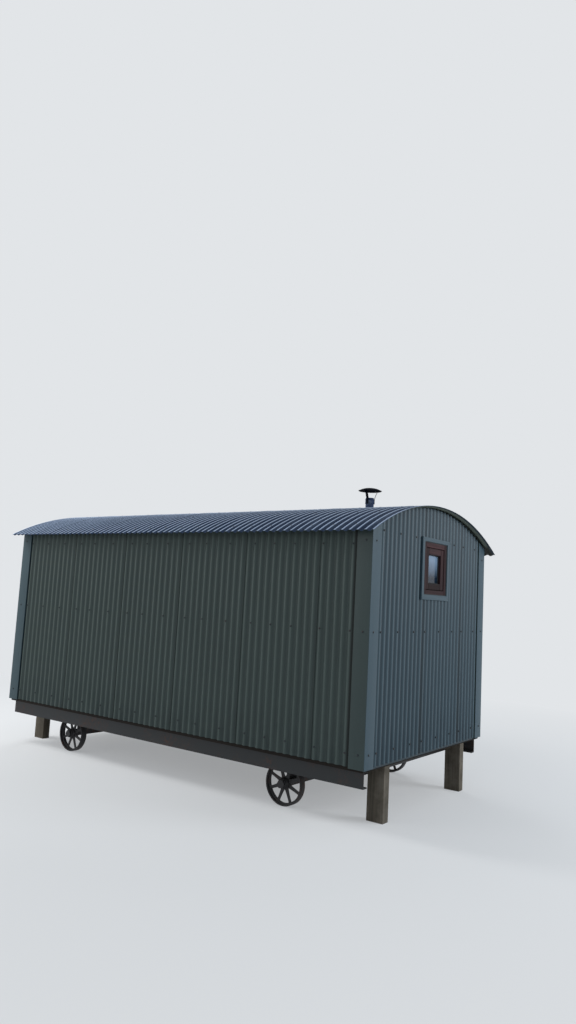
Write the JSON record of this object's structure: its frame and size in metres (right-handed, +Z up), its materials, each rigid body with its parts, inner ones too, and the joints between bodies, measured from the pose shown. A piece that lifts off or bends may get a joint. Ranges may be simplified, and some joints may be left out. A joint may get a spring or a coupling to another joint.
{
  "type": "shepherds hut",
  "caption": "Small arched cabin clad in corrugated sheet on a low steel chassis with spoked wheels and posts, with an end window, a stable door and a capped flue.",
  "frame": {"origin": "on the ground under the middle of the body", "axes": "+X along the hut to the window end, +Z up, the plain long side that the picture shows at -Y"},
  "size_m": [5.0292, 2.6784, 3.1468],
  "materials": {
    "chassis_paint": "dark red-brown oxide paint, dull",
    "wheel_iron": "dark painted cast iron, dull",
    "weathered_timber": "rough sawn, weathered",
    "pale_timber": "pale sawn softwood",
    "lining_timber": "pale softwood lining",
    "sheet_paint": "sage green coil coating, satin",
    "trim_paint": "sage green coil coating, satin",
    "roof_metal": "grey-blue weathered sheet, slightly glossy ridges",
    "stained_timber": "dark red-brown stain over open grain",
    "window_glass": "clear glass",
    "black_iron": "black, dull",
    "flue_steel": "matt black stove paint"
  },
  "bodies": {
    "root": {"chassis_beam_left": "chassis_paint", "chassis_beam_right": "chassis_paint", "chassis_cross_tubes": "chassis_paint", "bolsters": "chassis_paint", "axle_legs": "chassis_paint", "axles": "chassis_paint", "wheels": "wheel_iron", "support_posts": "weathered_timber", "floor_frame": "pale_timber", "floor_boards": "pale_timber", "wall_left": "lining_timber", "wall_right": "lining_timber", "wall_window_end": "lining_timber", "wall_door_end": "lining_timber", "cladding_left": "sheet_paint", "cladding_right": "sheet_paint", "cladding_window_end": "sheet_paint", "cladding_door_end": "sheet_paint", "corner_trims": "trim_paint", "roof_deck": "lining_timber", "roof_sheets": "roof_metal", "window_frame": "stained_timber", "window_sash": "stained_timber", "window_glass": "window_glass", "window_flashing": "trim_paint", "door_frame": "stained_timber", "door_leaf_lower": "stained_timber", "door_leaf_upper": "stained_timber", "door_flashing": "trim_paint", "door_hinges": "black_iron", "door_handle": "black_iron", "flue_pipe": "flue_steel", "flue_boot": "flue_steel", "cowl_straps": "flue_steel", "cowl_cap": "flue_steel"}
  },
  "joints": []
}
